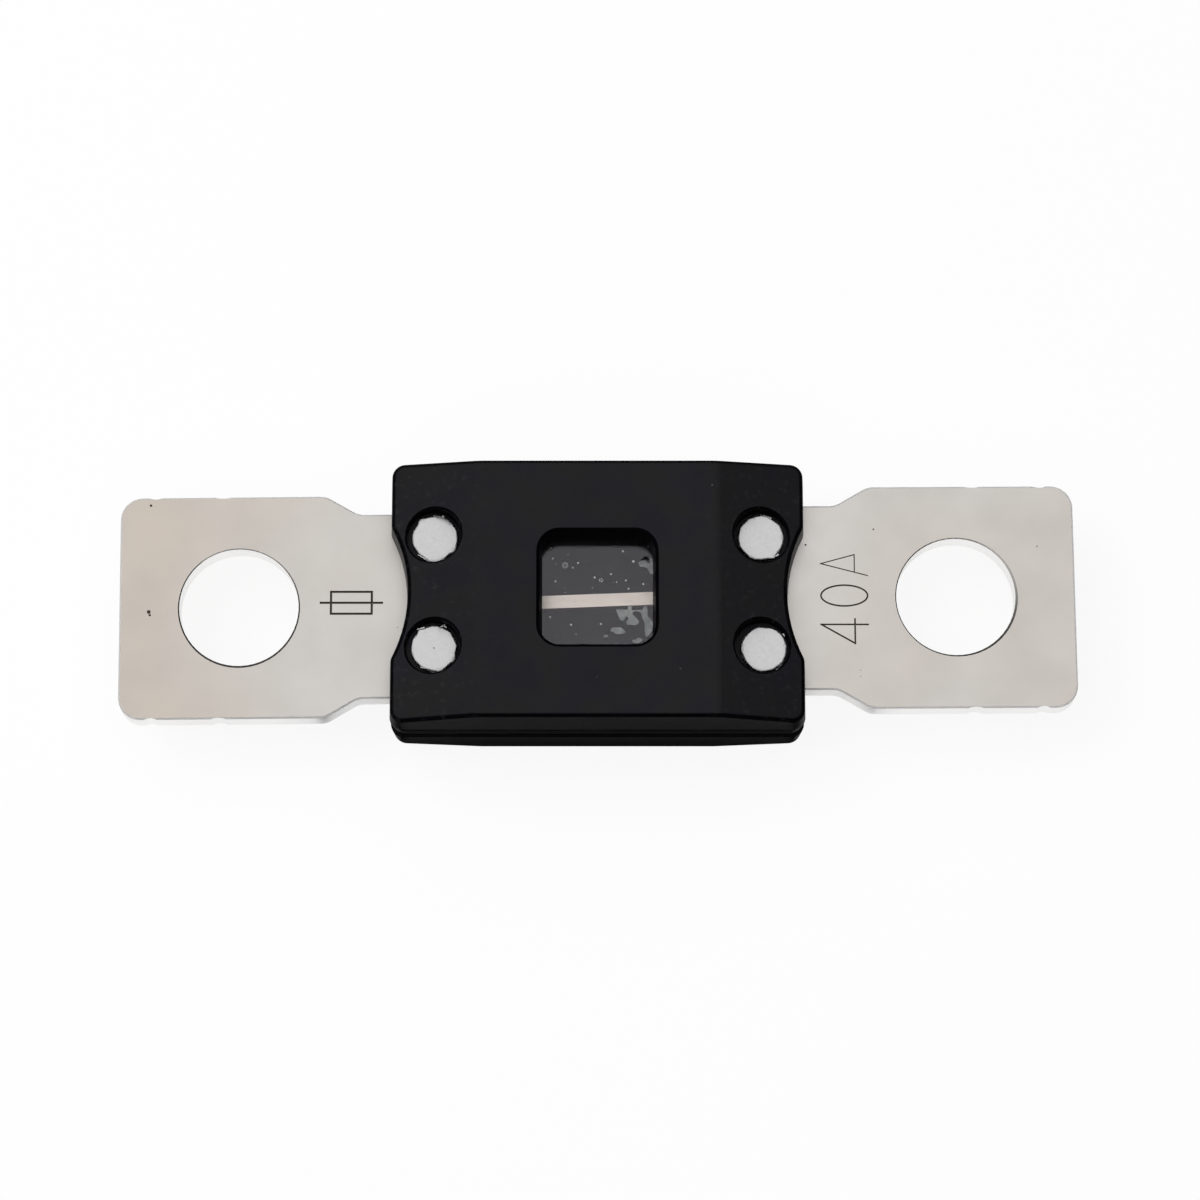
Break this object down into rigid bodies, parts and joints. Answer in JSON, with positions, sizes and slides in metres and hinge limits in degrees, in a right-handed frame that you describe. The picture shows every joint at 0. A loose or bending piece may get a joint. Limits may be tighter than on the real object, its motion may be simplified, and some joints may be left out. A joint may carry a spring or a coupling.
{
  "type": "bolt down strip fuse",
  "caption": "Bolt down strip fuse: flat stud terminals joined by a narrow melting strip, in a riveted black housing with a clear window over the strip.",
  "frame": {"origin": "middle of the housing, halfway through the thickness of the terminals", "axes": "+X along the fuse from one bolt hole to the other, +Y across it to the rear, +Z out of the window"},
  "size_m": [0.0681, 0.019, 0.0108],
  "materials": {
    "tinned_metal": "satin",
    "black_housing": "satin",
    "clear_pane": "gloss",
    "rivet_aluminium": "matte"
  },
  "bodies": {
    "root": {"fuse_element": "tinned_metal", "upper_shell": "black_housing", "lower_shell": "black_housing", "window_pane": "clear_pane", "rivet_front_left": "rivet_aluminium", "rivet_front_right": "rivet_aluminium", "rivet_rear_left": "rivet_aluminium", "rivet_rear_right": "rivet_aluminium"}
  },
  "joints": []
}
